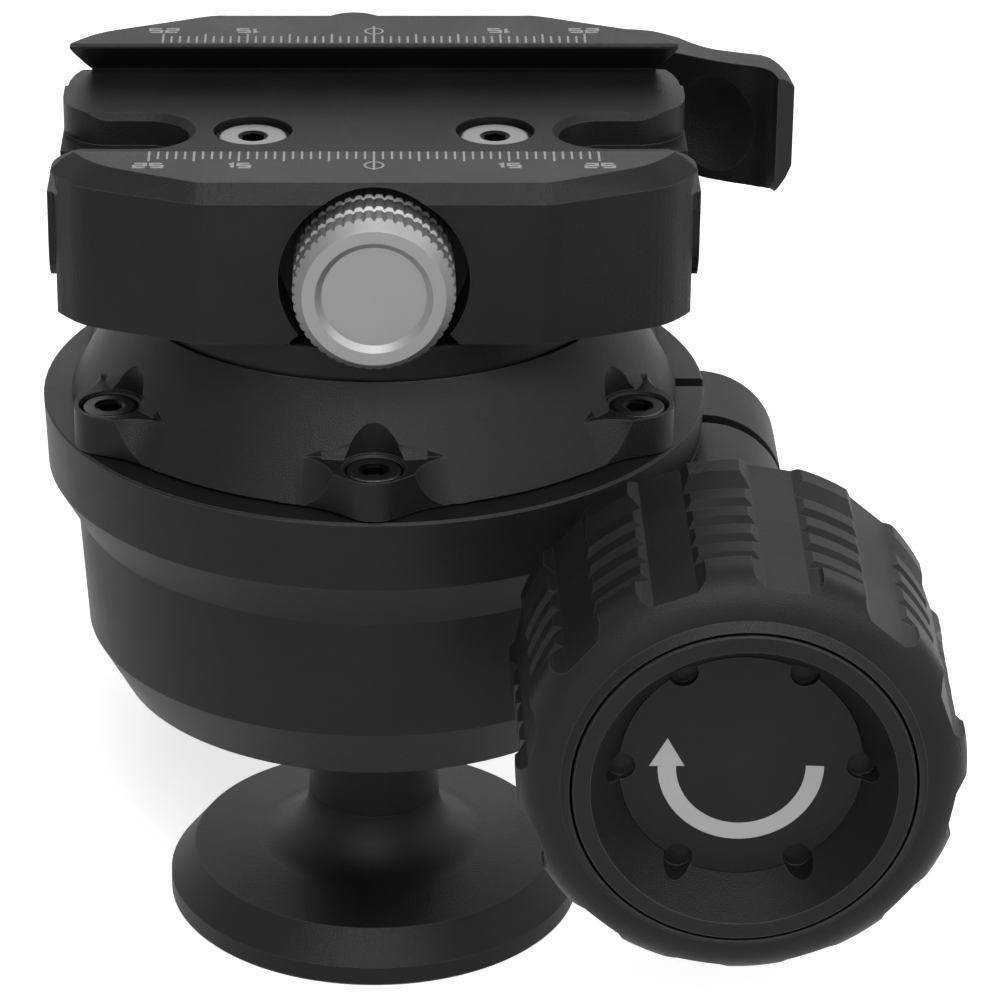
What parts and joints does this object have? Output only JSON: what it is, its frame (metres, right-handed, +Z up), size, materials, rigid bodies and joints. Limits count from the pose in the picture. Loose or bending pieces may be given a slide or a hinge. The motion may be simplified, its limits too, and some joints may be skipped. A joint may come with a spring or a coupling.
{
  "type": "tripod ball head",
  "caption": "Inverted tripod ball head: post and ball in a split clamping housing, fluted locking knob with a friction dial, panning dovetail clamp with a cam lever jaw.",
  "frame": {"origin": "centre of the base disc's underside, on the axis of the tripod thread", "axes": "+Z up along the post; the dovetail channel runs along X; the locking knob is at the front, on -Y, at the +X side"},
  "size_m": [0.1019, 0.1124, 0.1038],
  "materials": {
    "black_anodised": "satin bead-blasted black anodised",
    "black_machined": "satin black anodised, turned",
    "black_steel": "black oxide steel",
    "bright_steel": "machined stainless steel",
    "silver_knob": "clear anodised aluminium",
    "seat_plastic": "natural acetal plastic",
    "brass_part": "turned brass"
  },
  "bodies": {
    "base": {"base_disc": "black_anodised", "thread_bush": "bright_steel", "stem_ring": "bright_steel"},
    "ball": {"ball_stem": "black_machined"},
    "liner": {"upper_seat": "seat_plastic"},
    "head": {"lower_seat": "seat_plastic", "housing": "black_anodised", "dome_cap": "black_anodised", "dome_screws": "black_steel", "seat_spring": "bright_steel", "clamping_bolt": "bright_steel", "bolt_nut": "black_steel", "thrust_washer": "brass_part", "pan_spindle": "bright_steel", "spindle_screws": "black_steel", "pan_washer": "seat_plastic"},
    "lock_knob": {"knob_grip": "black_anodised", "knob_hub": "bright_steel", "dial_ring": "bright_steel"},
    "friction_dial": {"dial_bowl": "black_machined", "dial_cap": "black_anodised"},
    "clamp": {"pan_rotor": "black_machined", "clamp_body": "black_anodised", "clamp_screws": "bright_steel", "guide_pins": "bright_steel", "jaw_springs": "bright_steel", "tie_bolt": "bright_steel"},
    "pan_lock_knob": {"pan_knob": "silver_knob", "pan_screw": "bright_steel"},
    "pan_brake": {"brake_pad": "brass_part"},
    "sliding_jaw": {"rear_jaw": "black_anodised", "pivot_pins": "bright_steel"},
    "lever": {"lever_arm": "black_anodised", "crank_pin": "bright_steel"}
  },
  "joints": [
    {"name": "ball_turn", "type": "hinge", "parent": "base", "child": "ball", "pos_m": [0, 0, 0.0515], "axis": [0, 0, 1], "continuous": true},
    {"name": "ball_tilt", "type": "hinge", "parent": "ball", "child": "liner", "pos_m": [0, 0, 0.0515], "axis": [1, 0, 0], "range_deg": [-35, 35]},
    {"name": "head_spin", "type": "hinge", "parent": "liner", "child": "head", "pos_m": [0, 0, 0.0515], "axis": [0, 0, 1], "continuous": true},
    {"name": "lock_turn", "type": "hinge", "parent": "head", "child": "lock_knob", "pos_m": [0.039, -0.05, 0.0534], "axis": [0, 1, 0], "range_deg": [-270, 0]},
    {"name": "dial_turn", "type": "hinge", "parent": "lock_knob", "child": "friction_dial", "pos_m": [0.039, -0.068, 0.0534], "axis": [0, 1, 0], "range_deg": [0, 270]},
    {"name": "pan_spin", "type": "hinge", "parent": "head", "child": "clamp", "pos_m": [0, 0, 0.085], "axis": [0, 0, 1], "continuous": true},
    {"name": "pan_lock_turn", "type": "hinge", "parent": "clamp", "child": "pan_lock_knob", "pos_m": [0, -0.028, 0.09285], "axis": [0, 1, 0], "range_deg": [0, 360]},
    {"name": "brake_slide", "type": "slide", "parent": "clamp", "child": "pan_brake", "axis": [0, 1, 0], "range_m": [0, 0.0005]},
    {"name": "jaw_slide", "type": "slide", "parent": "clamp", "child": "sliding_jaw", "axis": [0, 1, 0], "range_m": [0, 0.003], "deforming": ["jaw_springs"]},
    {"name": "lever_swing", "type": "hinge", "parent": "sliding_jaw", "child": "lever", "pos_m": [-0.0024, 0.0249, 0.0925], "axis": [0, 0, 1], "range_deg": [0, 100]}
  ],
  "couplings": [
    {"joint": "brake_slide", "follows": "pan_lock_turn", "m_per_rad": 0.0000795},
    {"joint": "jaw_slide", "follows": "lever_swing", "m_per_rad": 0.001718}
  ]
}
